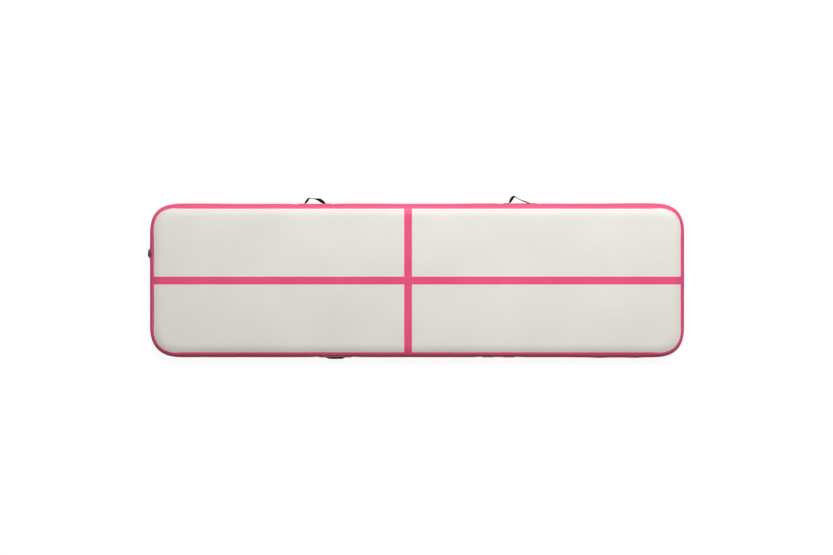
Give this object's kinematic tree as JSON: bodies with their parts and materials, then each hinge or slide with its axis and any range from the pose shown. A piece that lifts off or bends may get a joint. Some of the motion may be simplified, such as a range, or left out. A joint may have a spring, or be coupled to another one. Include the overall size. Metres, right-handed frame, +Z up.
{
  "type": "air track mat",
  "caption": "Long low inflatable tumbling mat with flat ivory faces, a coloured side band and line tapes, webbing handles and an end air valve.",
  "frame": {"origin": "middle of the flat underside, on the floor", "axes": "+X along the length, +Y across towards the far long side, +Z up"},
  "size_m": [3.4858, 1.0567, 0.1012],
  "materials": {
    "ivory_pvc": "satin",
    "pink_pvc": "satin",
    "white_yarn": "matte",
    "black_webbing": "matte",
    "grey_plastic": "satin",
    "black_rubber": "matte",
    "steel": "satin"
  },
  "bodies": {
    "mat": {"top_sheet": "ivory_pvc", "bottom_sheet": "ivory_pvc", "drop_threads": "white_yarn", "inner_wall": "ivory_pvc", "outer_band": "pink_pvc", "stripe_length": "pink_pvc", "stripe_cross": "pink_pvc", "handle_patch_far_left": "pink_pvc", "handle_patch_far_right": "pink_pvc", "handle_patch_near_left": "pink_pvc", "handle_patch_near_right": "pink_pvc", "strap_covers_far_left": "pink_pvc", "strap_covers_far_right": "pink_pvc", "strap_covers_near_left": "pink_pvc", "strap_covers_near_right": "pink_pvc", "strap_ends_far_left": "black_webbing", "strap_ends_far_right": "black_webbing", "strap_ends_near_left": "black_webbing", "strap_ends_near_right": "black_webbing", "valve_patch": "pink_pvc", "valve_base": "grey_plastic", "valve_gasket": "black_rubber", "valve_body": "grey_plastic", "valve_spring": "steel"},
    "strap_far_left": {"strap_loop_far_left": "black_webbing"},
    "strap_far_right": {"strap_loop_far_right": "black_webbing"},
    "strap_near_left": {"strap_loop_near_left": "black_webbing"},
    "strap_near_right": {"strap_loop_near_right": "black_webbing"},
    "plunger": {"valve_stem": "steel", "valve_button": "grey_plastic", "valve_seal_disc": "black_rubber", "valve_disc_plate": "grey_plastic", "valve_disc_nut": "steel"},
    "leash": {"valve_leash": "black_rubber"},
    "cap": {"valve_cap": "grey_plastic", "valve_cap_seal": "black_rubber"}
  },
  "joints": [
    {"name": "far_left_strap_swing", "type": "hinge", "parent": "mat", "child": "strap_far_left", "pos_m": [-0.664, 0.503, 0.05], "axis": [1, 0, 0], "range_deg": [-90, 90]},
    {"name": "far_right_strap_swing", "type": "hinge", "parent": "mat", "child": "strap_far_right", "pos_m": [0.67, 0.503, 0.05], "axis": [1, 0, 0], "range_deg": [-90, 90]},
    {"name": "near_left_strap_swing", "type": "hinge", "parent": "mat", "child": "strap_near_left", "pos_m": [-0.531, -0.503, 0.05], "axis": [-1, 0, 0], "range_deg": [0, 175]},
    {"name": "near_right_strap_swing", "type": "hinge", "parent": "mat", "child": "strap_near_right", "pos_m": [0.531, -0.503, 0.05], "axis": [-1, 0, 0], "range_deg": [0, 175]},
    {"name": "valve_plunger_press", "type": "slide", "parent": "mat", "child": "plunger", "axis": [1, 0, 0], "range_m": [0, 0.005], "stiffness_N_per_m": 400, "springref_m": -0.008, "deforming": ["valve_spring"]},
    {"name": "valve_cap_unscrew", "type": "hinge", "parent": "mat", "child": "leash", "pos_m": [-1.7375, 0.176, 0.05], "axis": [-1, 0, 0], "range_deg": [0, 90]},
    {"name": "valve_cap_pull", "type": "slide", "parent": "leash", "child": "cap", "axis": [-1, 0, 0], "range_m": [0, 0.025]}
  ]
}
